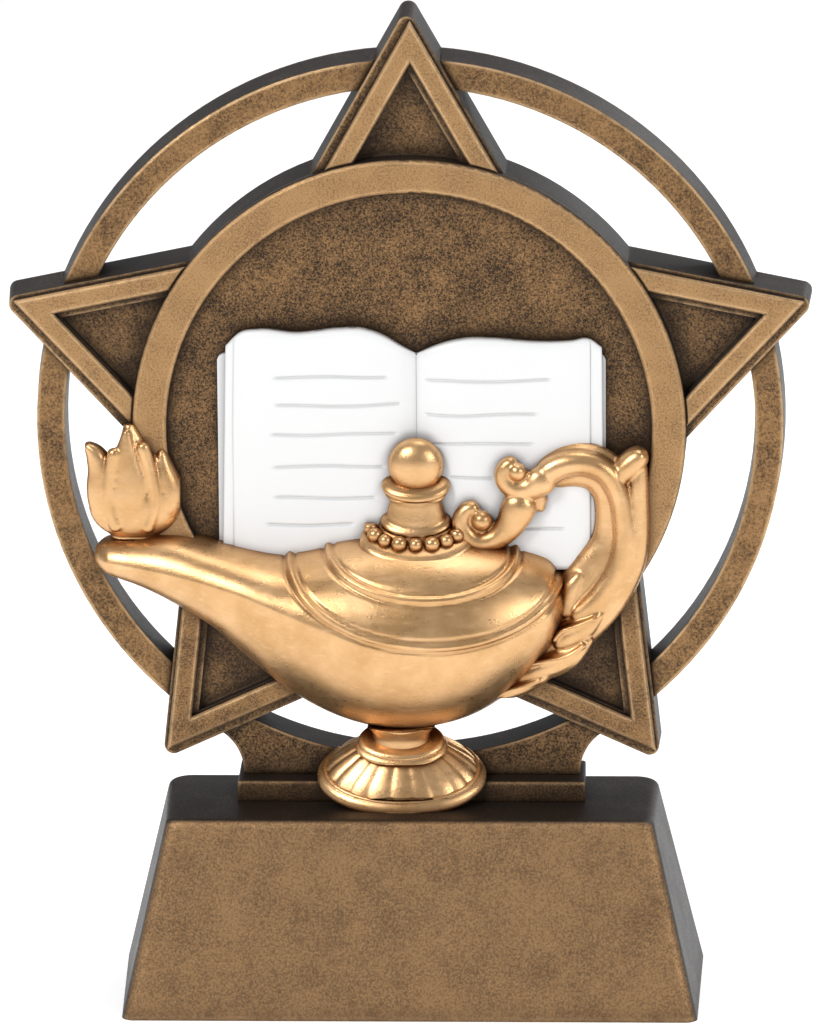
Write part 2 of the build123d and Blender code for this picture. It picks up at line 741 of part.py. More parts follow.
PIECES = {
    "base_block": base_block,
    "base_felt_pad": base_felt_pad,
    "locating_pins": locating_pins,
    "riser_block": riser_block,
    "ring_neck": ring_neck,
    "outer_ring": outer_ring,
    "star_plate": star_plate,
    "medallion_disc": medallion_disc,
    "medallion_rim": medallion_rim,
    "book_cover": book_cover,
    "book_pages_left": book_pages_left,
    "book_pages_right": book_pages_right,
    "book_top_page_left": book_top_page_left,
    "book_top_page_right": book_top_page_right,
    "lamp_spout": lamp_spout,
    "lamp_bowl": lamp_bowl,
    "lamp_lid_outer": lamp_lid_outer,
    "lamp_lid_inner": lamp_lid_inner,
    "lamp_lid_rim": lamp_lid_rim,
    "bead_string": bead_string,
    "finial_neck": finial_neck,
    "finial_collar": finial_collar,
    "finial_ball": finial_ball,
    "lamp_handle": lamp_handle,
    "handle_thumb_spur": handle_thumb_spur,
    "handle_upper_scroll": handle_upper_scroll,
    "handle_lower_scroll": handle_lower_scroll,
    "handle_scroll_stem": handle_scroll_stem,
    "flame_core": flame_core,
    "flame_left_tongue": flame_left_tongue,
    "flame_right_tongue": flame_right_tongue,
    "lamp_stem": lamp_stem,
    "stem_ring": stem_ring,
    "lamp_foot": lamp_foot,
    "foot_rim": foot_rim,
}
PIECES.update({f"star_frame_{name}": frame for name, frame in star_frames.items()})
PIECES.update(leaves)

os.makedirs("parts", exist_ok=True)
for name, piece in PIECES.items():
    piece.part.label = name
    export_step(piece.part, f"parts/{name}.step")
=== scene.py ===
import math

import bmesh
import bpy
import numpy as np
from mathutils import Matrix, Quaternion, Vector


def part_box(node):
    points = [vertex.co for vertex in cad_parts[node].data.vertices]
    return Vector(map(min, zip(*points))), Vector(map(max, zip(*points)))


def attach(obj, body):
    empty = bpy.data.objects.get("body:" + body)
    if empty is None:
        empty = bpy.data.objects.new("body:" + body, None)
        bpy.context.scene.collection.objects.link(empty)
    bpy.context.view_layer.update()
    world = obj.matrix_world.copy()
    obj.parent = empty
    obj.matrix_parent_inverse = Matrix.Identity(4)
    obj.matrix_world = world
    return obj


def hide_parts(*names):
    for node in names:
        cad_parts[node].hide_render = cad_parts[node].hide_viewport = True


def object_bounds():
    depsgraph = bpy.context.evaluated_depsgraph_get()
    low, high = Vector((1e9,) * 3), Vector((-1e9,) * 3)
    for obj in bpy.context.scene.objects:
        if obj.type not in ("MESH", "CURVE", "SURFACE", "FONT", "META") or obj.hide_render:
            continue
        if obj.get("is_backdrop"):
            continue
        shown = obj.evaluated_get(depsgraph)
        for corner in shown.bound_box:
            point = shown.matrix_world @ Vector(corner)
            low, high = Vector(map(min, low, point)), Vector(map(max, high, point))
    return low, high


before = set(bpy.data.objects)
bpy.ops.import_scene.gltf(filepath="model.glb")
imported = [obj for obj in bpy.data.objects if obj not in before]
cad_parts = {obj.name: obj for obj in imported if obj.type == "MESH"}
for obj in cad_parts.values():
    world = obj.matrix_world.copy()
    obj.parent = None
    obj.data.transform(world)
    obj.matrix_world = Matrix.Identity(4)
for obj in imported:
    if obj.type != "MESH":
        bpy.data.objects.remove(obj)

# All shapes below are written in millimetres, in the frame of the CAD model, and brought to metres once.
MM = 0.001
BODY = "root"

# The relief is cast as if each round detail leaned towards the front and was then pressed flat:
# a horizontal ring becomes an ellipse whose front edge comes forward and dips.
RELIEF_DEPTH = 0.49
RELIEF_DROP = 0.326
# How far a point in front of another looks lower, at the elevation the relief was cut for.
SIGHT_DROP = 0.268

# Lamp body, from the spout's end to the handle: x, top z, ridge z, bottom z and front y.
BODY_SECTIONS = (
    (-50.2, 73.8, 71.2, 69.0, -2.8),
    (-46.5, 74.6, 70.9, 67.6, -4.2),
    (-43.0, 75.0, 70.4, 66.3, -5.0),
    (-37.0, 75.1, 69.5, 63.2, -6.5),
    (-31.5, 74.1, 68.4, 59.7, -8.0),
    (-26.0, 73.1, 67.0, 54.8, -9.6),
    (-20.0, 72.2, 64.8, 49.8, -11.2),
    (-9.0, 74.2, 60.9, 44.2, -13.6),
    (3.0, 75.2, 59.4, 43.4, -14.2),
    (14.0, 73.8, 60.8, 47.8, -12.2),
    (18.0, 72.8, 62.0, 51.2, -10.4),
    (21.6, 71.5, 63.4, 55.2, -8.4),
    (25.4, 69.0, 64.0, 59.4, -5.4),
)
SPOUT_END = 2.6
BOWL_END = 4.0
BODY_ROWS = 300
UPPER_COLUMNS = 64
LOWER_COLUMNS = 76
# The share of the rows' spacing that crowds together towards both ends, where the form closes.
END_CROWDING = 0.35
# The two halves of a section meet at this many degrees short of a smooth ellipse, as a soft ridge.
RIDGE_SHORT = 9.0
RIDGE_SOFTENING = 5

# Ovals cut into the lid, as centre x, centre height, half width and half height seen from the front.
OUTER_OVAL = (2.6, 70.5, 22.3, 14.9)
INNER_OVAL = (2.0, 72.0, 15.5, 8.9)
OVAL_TILT = 0.03
# Each oval raises the lid by a step, and its edge has (height, distance inside the edge, width) details.
LID_STEP = 0.34
LID_STEP_SOFTNESS = 0.22
LID_LIP = (0.3, 0.75, 0.42)
LID_GROOVE = (0.36, -0.05, 0.3)
LID_LINE = (0.24, 1.65, 0.26)
# The lid's relief fades out over this depth in front of the lamp's back.
RELIEF_FADE = 1.5

# Finial: axis x and y, then each turned part as (height, radius) pairs above the base height.
FINIAL_X = 1.1
FINIAL_Y = -2.6
LID_RIM_Y = -3.8
LID_RIM_Z = 73.2
LID_RIM = ((0.0, 7.6), (0.2, 8.6), (1.1, 8.95), (2.0, 8.7), (2.4, 7.9), (2.6, 6.4))
NECK_Z = 75.2
NECK = (
    (0.0, 6.6), (1.2, 6.3), (1.9, 5.8), (2.2, 5.5), (2.6, 5.6), (3.0, 5.3), (3.3, 4.8),
    (4.4, 4.45), (6.2, 4.05), (7.2, 4.0), (7.5, 4.5),
)
COLLAR_Z = 82.1
COLLAR = (
    (0.0, 4.0), (0.1, 4.7), (0.4, 4.9), (0.7, 4.7), (0.85, 4.85), (1.2, 5.35), (1.7, 5.35), (2.1, 4.9),
    (2.3, 4.2), (2.5, 3.2),
)
BALL = (86.9, 4.4)
BALL_DEPTH = 0.62
BALL_FINENESS = (40, 64)
BEAD_Z = 77.1
BEAD_RING = 7.35
BEAD_RADIUS = 1.22
BEAD_COUNT = 9
BEAD_ARC = (-172.0, -8.0)
BEAD_FINENESS = (14, 22)
# Beads differ a little in size and height, as they do in a worn casting: by how much, and how fast.
BEAD_SIZE_CHANGE = (0.07, 2.7)
BEAD_HEIGHT_CHANGE = (0.08, 5.1)
BEAD_DEPTH = 0.9
BEAD_HEIGHT = 0.96

# Stem and foot.
FOOT_X = -1.5
FOOT_Y = -0.9
STEM_Y = -1.7
STEM_Z = 40.2
STEM = ((0.0, 5.2), (1.4, 4.5), (2.6, 4.6), (4.2, 5.6), (5.6, 6.9))
STEM_RING_Z = 39.9
STEM_RING = (
    (0.0, 5.6), (0.15, 6.9), (0.6, 7.4), (1.0, 7.1), (1.2, 6.7), (1.4, 6.9), (1.8, 6.6),
    (2.0, 5.8), (2.1, 4.6),
)
FOOT_Z = 35.6
FOOT = ((0.0, 12.7), (0.9, 12.2), (2.0, 11.2), (3.2, 9.5), (4.3, 7.7), (5.0, 6.4))
FOOT_GORES = 20
FOOT_GROOVE = 0.6
GORE_SHARPNESS = 0.4
FOOT_RIM_Z = 34.4
FOOT_RIM = (
    (-0.6, 11.4), (-0.2, 12.8), (0.6, 13.5), (1.3, 13.4), (1.8, 12.9), (2.0, 12.5), (2.15, 12.6),
    (2.3, 12.3), (2.2, 11.6),
)

# Handle: (x, z, half width) along each band.
BAR = (
    (24.2, 60.6, 2.8), (27.0, 63.8, 5.2), (30.7, 68.4, 5.6), (33.2, 74.0, 4.6), (33.4, 79.2, 4.2),
    (32.2, 83.2, 3.8), (29.4, 86.0, 3.7), (26.0, 86.6, 3.7), (22.8, 85.6, 3.2), (20.6, 84.0, 2.4),
)
BAR_Y = -1.0
BAR_DEPTH = 2.5
# The raised band along the front of the arch, and the crest that it becomes on the right-hand limb.
FRONT_BAND = (
    (20.6, 84.4, 2.1), (22.6, 86.2, 2.2), (25.2, 87.2, 2.2), (28.2, 87.2, 2.1), (31.0, 85.8, 2.0),
    (32.8, 82.8, 1.8), (33.7, 78.6, 1.8), (34.0, 74.6, 2.0), (33.2, 70.6, 2.2), (31.2, 67.0, 2.3),
    (28.4, 63.8, 2.2), (25.2, 61.8, 1.5),
)
BAND_Y = -2.4
BAND_DEPTH = 2.3
OUTER_LIMB = (
    (36.7, 87.4, 0.9), (36.1, 84.4, 1.7), (36.0, 81.0, 1.9), (36.0, 76.6, 2.0), (35.4, 71.6, 2.2),
    (33.2, 66.6, 2.4), (30.2, 62.2, 2.4), (26.8, 58.4, 2.2), (23.4, 55.2, 1.8), (20.6, 53.2, 1.1),
)
LIMB_Y = -1.2
LIMB_DEPTH = 2.6
SPUR = ((31.8, 83.2, 0.8), (33.2, 85.2, 1.8), (34.9, 87.0, 2.1), (36.4, 88.3, 1.8), (37.5, 89.2, 1.0))
SPUR_Y = -1.8
SPUR_DEPTH = 2.3
UPPER_SCROLL = (
    (22.6, 85.8, 3.0), (20.6, 84.3, 2.5), (18.7, 83.2, 1.95), (16.5, 83.2, 1.75), (15.1, 84.6, 1.55),
    (15.1, 86.3, 1.45), (16.1, 87.3, 1.25), (17.2, 87.2, 1.0),
)
UPPER_EYE = (17.1, 86.1, 1.5)
LOWER_SCROLL = (
    (18.4, 82.6, 2.8), (17.2, 79.8, 2.8), (15.6, 76.9, 2.3), (13.1, 74.8, 1.85), (10.6, 74.5, 1.75),
    (8.7, 76.1, 1.75), (8.3, 78.2, 1.55), (9.3, 79.8, 1.35), (11.2, 80.2, 1.1),
)
LOWER_EYE = (11.5, 78.2, 1.65)
SCROLL_Y = -3.1
SCROLL_DEPTH = 2.0
EYE_Y = SCROLL_Y - 0.7
# Where the limb grows out of the bowl, and the stalk behind the leaves.
LIMB_ROOT = ((27.6, 69.6, 1.0), (26.0, 67.4, 1.9), (25.0, 64.2, 2.1), (24.4, 61.2, 1.9))
LEAF_STALK = ((27.6, 63.4, 2.4), (24.8, 59.6, 2.6), (21.4, 56.0, 2.6), (17.6, 52.4, 1.9))
STALK_Y = -1.4
STALK_DEPTH = 2.5
LEAF_TIP = ((20.6, 82.6, 1.5), (20.6, 80.6, 1.2), (21.0, 79.0, 0.4))
LEAF_TIP_Y = BAR_Y - 1.0
LEAF_TIP_DEPTH = 1.6
# Each leaf, then the bright crest along its upper edge.
LEAVES = (
    ((30.6, 63.4, 0.8), (27.4, 60.6, 2.0), (24.8, 58.8, 1.9), (22.8, 57.3, 0.7)),
    ((29.0, 59.2, 0.6), (25.2, 55.8, 2.0), (20.4, 53.6, 1.9), (16.6, 51.9, 0.7)),
    ((23.6, 54.0, 0.5), (18.6, 51.2, 1.4), (15.2, 49.8, 1.3), (13.2, 48.6, 0.6)),
)
LEAF_CRESTS = (
    ((22.6, 58.4), (23.8, 60.1), (26.3, 61.1), (29.8, 62.6)),
    ((16.6, 52.7), (18.4, 54.6), (21.2, 55.3), (25.0, 56.2), (28.0, 58.3)),
    ((13.2, 49.2), (15.2, 50.4), (18.1, 51.3), (21.3, 52.4)),
)
LEAF_Y = -3.2
LEAF_DEPTH = 2.0
CREST_RADIUS = 0.5
CREST_Y = LEAF_Y - 1.2
CREST_DEPTH = 0.9
HANDLE_SMOOTHING = 2

# Flame: a bulb as x, z, half width and half height, on a turned seat.
FLAME_BULB = (-43.5, 79.6, 7.3, 5.5)
FLAME_Y = -0.9
FLAME_DEPTH = 3.6
FLAME_SEAT = ((0.0, 2.9), (0.3, 3.6), (0.9, 3.8), (1.6, 3.4))
FLAME_SEAT_Z = 74.0
# Petals, as (x, z, half width) points.
MIDDLE_PETAL = (
    (-43.6, 78.6, 5.2), (-43.4, 83.4, 5.4), (-43.6, 87.4, 3.7), (-43.9, 90.6, 1.9), (-44.3, 93.9, 0.5),
)
LEFT_PETAL = (
    (-47.2, 77.6, 3.2), (-48.4, 82.0, 2.7), (-48.7, 85.8, 2.2), (-49.8, 88.4, 1.5), (-51.3, 89.9, 0.5),
)
RIGHT_PETAL = ((-39.9, 77.6, 3.2), (-38.3, 81.8, 2.7), (-38.9, 85.4, 2.0), (-39.1, 89.2, 0.5))
FRONT_PETAL = ((-44.6, 78.0, 3.4), (-44.2, 83.0, 3.2), (-44.6, 88.0, 1.9), (-44.5, 92.6, 0.5))
# Each petal with its middle y and its half depth.
FLAME_PETALS = (
    (MIDDLE_PETAL, -1.6, 2.6), (LEFT_PETAL, -1.0, 3.0), (RIGHT_PETAL, -1.0, 3.0), (FRONT_PETAL, -2.9, 1.9),
)
FLAME_RIDGES = (
    ((-46.0, 75.8), (-47.4, 80.4), (-46.9, 86.0), (-46.4, 89.6)),
    ((-41.8, 75.6), (-40.2, 80.4), (-41.0, 86.0), (-42.2, 90.6)),
)
FLAME_RIDGE_RADIUS = 1.1
FLAME_RIDGE_Y = FLAME_Y - FLAME_DEPTH + 1.25
FLAME_RIDGE_DEPTH = 1.2
FLAME_SMOOTHING = 5

# How finely the forms are divided, in millimetres and in points round a section.
VOXEL = 0.26
TUBE_STEP = 0.4
TUBE_SIDES = 24
RING_STEP = 0.14
RING_SIDES = 180
# An ellipsoid's first and last ring stand this far from its poles, in radians.
POLE_GAP = 0.05
# How quickly a band loses depth where it narrows.
BAND_THINNING = 0.5

# Book. Each half is a leaf lying on a page block, on the cover board.
GUTTER_X = 1.2
PAGE_BOTTOM = 69.6
# Rows of a page are level up to here, then bend to follow its top edge.
PAGE_LEVEL_TOP = 102.6
PAGE_TOP_ROWS = 14
LEFT_TOP = (
    (-28.8, 105.6), (-26.8, 107.6), (-23.6, 108.3), (-17.6, 107.8), (-11.2, 108.5), (-7.2, 108.5),
    (-4.0, 107.4), (-1.2, 105.7), (1.2, 104.3),
)
RIGHT_TOP = (
    (1.2, 104.3), (4.2, 105.7), (8.8, 106.9), (13.6, 106.9), (20.0, 106.4), (25.6, 106.5),
    (28.4, 106.8), (30.4, 105.4),
)
# The fore edge's x at the top and at the bottom.
LEFT_EDGE = (-28.9, -29.7)
RIGHT_EDGE = (30.5, 30.8)
# How far the leaf stands forward, along the way from the gutter (0) to the fore edge (1).
PAGE_CROWN = ((0.0, 0.15), (0.06, 1.0), (0.2, 1.75), (0.45, 1.85), (0.75, 1.6), (0.93, 1.3), (1.0, 0.9))
BLOCK_CROWN = ((0.0, 0.0), (0.06, 0.5), (0.3, 1.0), (0.9, 0.9), (1.0, 0.7))
PAGE_BASE = -0.2
LEAF_INSET = 1.3
# Ruled lines: height, then where each starts and ends.
LEFT_RULES = (
    (100.8, -21.2, -3.4), (96.2, -21.0, -1.4), (91.5, -21.7, -2.0), (86.3, -21.4, -4.0),
    (81.2, -21.2, -5.4), (76.8, -22.5, -9.0),
)
RIGHT_RULES = (
    (100.2, 2.6, 22.2), (94.7, 2.6, 20.1), (90.0, 4.0, 19.6), (84.6, 6.5, 13.4), (76.3, 18.3, 24.4),
)
RULE_WIDTH = 0.24
RULE_DEPTH = 0.34
# A ruled line wavers by this much, at so many radians per millimetre, and each line starts further on.
RULE_WAVER = (0.12, 0.35, 2.1)
RULE_SLOPE = 0.012
RULE_FADE = 0.15
# Rows and columns of a page, and the closer ones at each line and beside the gutter.
PAGE_ROWS = 40
LINE_ROWS = 15
LINE_BELOW = 0.55
LINE_ABOVE = 0.75
PAGE_COLUMNS = 90
GUTTER_SHARE = 0.12
GUTTER_COLUMNS = 24
# The page's top edge rolls back by this much over this height.
TOP_ROLL = 0.35
TOP_ROLL_HEIGHT = 1.2

# Camera, in the photograph's place.
ELEVATION = 15.0
AZIMUTH = 2.0
DISTANCE = 1.274
LENS = 283.2
TARGET = (-0.0005, 0.0, 0.0785)
ROLL = -0.4


def through(at, values, wanted):
    """Smooth values at the wanted places, through values known at other places."""
    at = np.asarray(at, float)
    values = np.asarray(values, float)
    slopes = np.gradient(values, at, axis=0)
    i = np.clip(np.searchsorted(at, wanted, side="right") - 1, 0, len(at) - 2)
    span = at[i + 1] - at[i]
    t = (wanted - at[i]) / span
    if values.ndim > 1:
        t = t[:, None]
        span = span[:, None]
    start = (2 * t**3 - 3 * t**2 + 1) * values[i] + (t**3 - 2 * t**2 + t) * span * slopes[i]
    end = (3 * t**2 - 2 * t**3) * values[i + 1] + (t**3 - t**2) * span * slopes[i + 1]
    return start + end


def path_through(points, step):
    """A smooth path through the points, with a point about every step."""
    keys = np.array(points, float)
    lengths = np.linalg.norm(np.diff(keys[:, :2], axis=0), axis=1)
    at = np.concatenate([[0.0], np.cumsum(lengths)])
    count = max(int(at[-1] / step), 4)
    return through(at, keys, np.linspace(0, at[-1], count))


def grid_faces(rows, columns, closed=False):
    """Quads over a grid of points, with the last column joined to the first where closed."""
    faces = []
    for row in range(rows - 1):
        for column in range(columns if closed else columns - 1):
            after = (column + 1) % columns
            first = row * columns
            faces.append((first + column, first + after, first + columns + after, first + columns + column))
    return faces


def tube_mesh(rings):
    """Points and faces of a closed tube through rings of points, capped at both ends."""
    rings = np.asarray(rings)
    count, sides = rings.shape[:2]
    faces = grid_faces(count, sides, closed=True)
    faces.append(tuple(range(sides)))
    faces.append(tuple((count - 1) * sides + i for i in reversed(range(sides))))
    return rings.reshape(-1, 3), faces


def joined(meshes):
    """Points and faces of several meshes as one."""
    points = []
    faces = []
    offset = 0
    for more_points, more_faces in meshes:
        points.append(np.asarray(more_points))
        faces += [tuple(i + offset for i in face) for face in more_faces]
        offset += len(more_points)
    return np.concatenate(points), faces


def new_object(name, points, faces):
    """A mesh object from points in millimetres, with its faces turned outwards."""
    mesh = bpy.data.meshes.new(name)
    mesh.from_pydata([tuple(p) for p in np.asarray(points, float) * MM], [], faces)
    work = bmesh.new()
    work.from_mesh(mesh)
    bmesh.ops.recalc_face_normals(work, faces=work.faces[:])
    work.to_mesh(mesh)
    work.free()
    for polygon in mesh.polygons:
        polygon.use_smooth = True
    thing = bpy.data.objects.new(name, mesh)
    bpy.context.scene.collection.objects.link(thing)
    return thing


def room_of(nodes):
    """Lowest and highest corner, in millimetres, of several CAD nodes together."""
    boxes = [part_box(node) for node in nodes]
    low = np.min([np.array(low) for low, _ in boxes], axis=0)
    high = np.max([np.array(high) for _, high in boxes], axis=0)
    return low / MM, high / MM


def kept_in(points, nodes):
    """The points with any that stand out of the CAD nodes' room pushed back to its face."""
    low, high = room_of(nodes)
    return np.clip(points, low, high)


def pressed(points, nodes):
    """The points flattened towards the back, as far as the CAD nodes' room needs."""
    low, high = room_of(nodes)
    share = min(1.0, (high[1] - low[1]) / (high[1] - points[:, 1].min()))
    points = points.copy()
    points[:, 1] = high[1] + (points[:, 1] - high[1]) * share
    return points


def finish_piece(thing, nodes, material):
    """Gives a finished piece its material and its body, and hides the CAD nodes that it stands for."""
    thing.data.materials.append(material)
    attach(thing, BODY)
    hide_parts(*nodes)
    return thing


def fused(name, meshes, nodes, smoothing):
    """Closed meshes melted together into one skin, softened, and kept in the CAD nodes' room."""
    rough = new_object(name + "_rough", *joined(meshes))
    remesh = rough.modifiers.new("skin", "REMESH")
    remesh.mode = "VOXEL"
    remesh.voxel_size = VOXEL * MM
    smooth = rough.modifiers.new("soften", "SMOOTH")
    smooth.factor = 0.5
    smooth.iterations = smoothing
    graph = bpy.context.evaluated_depsgraph_get()
    mesh = bpy.data.meshes.new_from_object(rough.evaluated_get(graph))
    mesh.name = name
    bpy.data.objects.remove(rough)
    points = np.zeros(len(mesh.vertices) * 3)
    mesh.vertices.foreach_get("co", points)
    points = kept_in(pressed(points.reshape(-1, 3) / MM, nodes), nodes) * MM
    mesh.vertices.foreach_set("co", points.ravel())
    for polygon in mesh.polygons:
        polygon.use_smooth = True
    thing = bpy.data.objects.new(name, mesh)
    bpy.context.scene.collection.objects.link(thing)
    return thing


def rounded_end(distance, radius):
    """How wide a round end is, as a share of full width, at a distance from its tip."""
    d = np.clip(distance / radius, 0.0, 1.0)
    return np.sqrt(np.clip(1 - (1 - d) ** 2, 0.0004, 1.0))


def oval_distance(x, height, oval):
    """How far inside an oval a point lies, in millimetres; less than zero outside."""
    centre_x, centre_height, half_width, half_height = oval
    dx = x - centre_x
    dh = height + OVAL_TILT * dx - centre_height
    reach = np.sqrt((dx / half_width) ** 2 + (dh / half_height) ** 2) + 1e-6
    slope = np.sqrt((dx / half_width**2) ** 2 + (dh / half_height**2) ** 2) / reach + 1e-6
    return (1 - reach) / slope


def bump(distance, height, middle, width):
    """A soft ridge where the distance is near the middle."""
    return height * np.exp(-(((distance - middle) / width) ** 2))


def lid_relief(x, height):
    """How far the lid stands out, with its two cut lines and their lips."""
    relief = np.zeros_like(x)
    for oval in (OUTER_OVAL, INNER_OVAL):
        inside = oval_distance(x, height, oval)
        relief += LID_STEP / (1 + np.exp(-inside / LID_STEP_SOFTNESS))
        relief += bump(inside, *LID_LIP)
        relief -= bump(inside, *LID_GROOVE)
        relief -= bump(inside, *LID_LINE)
    return relief


def body_grid(back):
    """The lamp body's outer skin, row by row along x and from the top edge round to the bottom edge."""
    keys = np.array(BODY_SECTIONS)
    ends = keys[0, 0], keys[-1, 0]
    turn = np.linspace(0, math.pi, BODY_ROWS)
    even = np.linspace(0, 1, BODY_ROWS)
    share = END_CROWDING * (1 - np.cos(turn)) / 2 + (1 - END_CROWDING) * even
    x = ends[0] + (ends[1] - ends[0]) * share
    top, ridge, bottom, front = through(keys[:, 0], keys[:, 1:], x).T
    close = rounded_end(x - ends[0], SPOUT_END) * rounded_end(ends[1] - x, BOWL_END)
    top = ridge + (top - ridge) * close
    bottom = ridge + (bottom - ridge) * close
    depth = (back - front) * close
    limit = math.radians(90 - RIDGE_SHORT)
    upper = np.linspace(0, limit, UPPER_COLUMNS)
    lower = np.linspace(limit, 0, LOWER_COLUMNS)[1:]
    rise = (np.cos(upper) - math.cos(limit)) / (1 - math.cos(limit))
    fall = (np.cos(lower) - math.cos(limit)) / (1 - math.cos(limit))
    out = np.concatenate([np.sin(upper), np.sin(lower)]) / math.sin(limit)
    z = np.concatenate(
        [ridge[:, None] + (top - ridge)[:, None] * rise, ridge[:, None] + (bottom - ridge)[:, None] * fall],
        axis=1,
    )
    y = back - depth[:, None] * out
    grid = np.stack([np.repeat(x[:, None], z.shape[1], axis=1), y, z], axis=2)
    for _ in range(RIDGE_SOFTENING):
        grid[:, 1:-1, 1:] = (grid[:, :-2, 1:] + 2 * grid[:, 1:-1, 1:] + grid[:, 2:, 1:]) / 4
    return grid


def grid_normals(grid):
    """Outward directions of a skin, pointing to the front."""
    along = np.gradient(grid, axis=0)
    across = np.gradient(grid, axis=1)
    normals = np.cross(along, across)
    normals /= np.linalg.norm(normals, axis=2, keepdims=True) + 1e-9
    facing = np.sign(-normals[:, :, 1:2])
    facing[facing == 0] = 1
    return normals * facing


def lamp_body(material):
    """Spout, bowl and the two tiers of the lid as one cast skin."""
    nodes = ("lamp_spout", "lamp_bowl", "lamp_lid_outer", "lamp_lid_inner")
    back = room_of(nodes)[1][1]
    grid = body_grid(back)
    height = grid[:, :, 2] + SIGHT_DROP * grid[:, :, 1]
    relief = lid_relief(grid[:, :, 0], height)
    fade = np.clip((back - grid[:, :, 1]) / RELIEF_FADE, 0, 1)
    grid = grid + grid_normals(grid) * (relief * fade)[:, :, None]
    points, faces = tube_mesh(grid)
    thing = new_object("lamp_body_cast", kept_in(points, nodes), faces)
    return finish_piece(thing, nodes, material)


def relief_rings(profile, x, y, z, ripple=None):
    """Rings of a turned form in relief, through (height, radius) pairs; a ripple varies the radius."""
    keys = np.array(profile)
    steps = np.linalg.norm(np.diff(keys, axis=0), axis=1)
    at = np.concatenate([[0.0], np.cumsum(steps)])
    sections = through(at, keys, np.linspace(0, at[-1], int(at[-1] / RING_STEP) + 2))
    turn = np.linspace(0, 2 * math.pi, RING_SIDES, endpoint=False)
    rings = []
    for height, radius in sections:
        r = radius + (ripple(turn) if ripple else 0 * turn)
        px = x + r * np.cos(turn)
        py = y + RELIEF_DEPTH * r * np.sin(turn)
        pz = z + height + RELIEF_DROP * r * np.sin(turn)
        rings.append(np.stack([px, py, pz], axis=1))
    return rings


def turned(name, profile, x, y, z, cad_node, material, ripple=None):
    """A turned piece of the lamp in relief, in the place of one CAD node."""
    points, faces = tube_mesh(relief_rings(profile, x, y, z, ripple))
    thing = new_object(name, kept_in(points, (cad_node,)), faces)
    return finish_piece(thing, (cad_node,), material)


def ellipsoid(centre, radii, rings=18, sides=28):
    """Points and faces of a closed ellipsoid."""
    turn = np.linspace(0, 2 * math.pi, sides, endpoint=False)
    loops = []
    for tilt in np.linspace(-math.pi / 2 + POLE_GAP, math.pi / 2 - POLE_GAP, rings):
        flat = math.cos(tilt)
        x = centre[0] + radii[0] * flat * np.cos(turn)
        y = centre[1] + radii[1] * flat * np.sin(turn)
        z = centre[2] + radii[2] * math.sin(tilt) + 0 * turn
        loops.append(np.stack([x, y, z], axis=1))
    return tube_mesh(loops)


def finial(material):
    """The lid's rolled rim, neck, collar and ball."""
    turned("lid_rim_cast", LID_RIM, FINIAL_X, LID_RIM_Y, LID_RIM_Z, "lamp_lid_rim", material)
    turned("finial_neck_cast", NECK, FINIAL_X, FINIAL_Y, NECK_Z, "finial_neck", material)
    turned("finial_collar_cast", COLLAR, FINIAL_X, FINIAL_Y, COLLAR_Z, "finial_collar", material)
    z, radius = BALL
    points, faces = ellipsoid((FINIAL_X, FINIAL_Y, z), (radius, BALL_DEPTH * radius, radius), *BALL_FINENESS)
    thing = new_object("finial_ball_cast", kept_in(points, ("finial_ball",)), faces)
    finish_piece(thing, ("finial_ball",), material)


def bead_string(material):
    """The string of beads round the front of the lid's rim."""
    beads = []
    for count, angle in enumerate(np.linspace(*np.radians(BEAD_ARC), BEAD_COUNT)):
        change, pace = BEAD_SIZE_CHANGE
        size = BEAD_RADIUS * (1 + change * math.sin(pace * count))
        lift, pace = BEAD_HEIGHT_CHANGE
        centre = (
            FINIAL_X + BEAD_RING * math.cos(angle),
            FINIAL_Y + RELIEF_DEPTH * BEAD_RING * math.sin(angle),
            BEAD_Z + RELIEF_DROP * BEAD_RING * math.sin(angle) + lift * math.sin(pace * count),
        )
        beads.append(ellipsoid(centre, (size, BEAD_DEPTH * size, BEAD_HEIGHT * size), *BEAD_FINENESS))
    points, faces = joined(beads)
    thing = new_object("bead_string_cast", kept_in(points, ("bead_string",)), faces)
    finish_piece(thing, ("bead_string",), material)


def gores(turn):
    """The foot's fluting: narrow grooves between broad, softly rounded gores."""
    wave = np.abs(np.cos(turn * FOOT_GORES / 2))
    return FOOT_GROOVE * (wave**GORE_SHARPNESS - 1.0)


def stand(material):
    """The lamp's stem, its ring and the fluted foot."""
    turned("lamp_stem_cast", STEM, FOOT_X, STEM_Y, STEM_Z, "lamp_stem", material)
    turned("stem_ring_cast", STEM_RING, FOOT_X, STEM_Y, STEM_RING_Z, "stem_ring", material)
    turned("lamp_foot_cast", FOOT, FOOT_X, FOOT_Y, FOOT_Z, "lamp_foot", material, gores)
    turned("foot_rim_cast", FOOT_RIM, FOOT_X, FOOT_Y, FOOT_RIM_Z, "foot_rim", material)


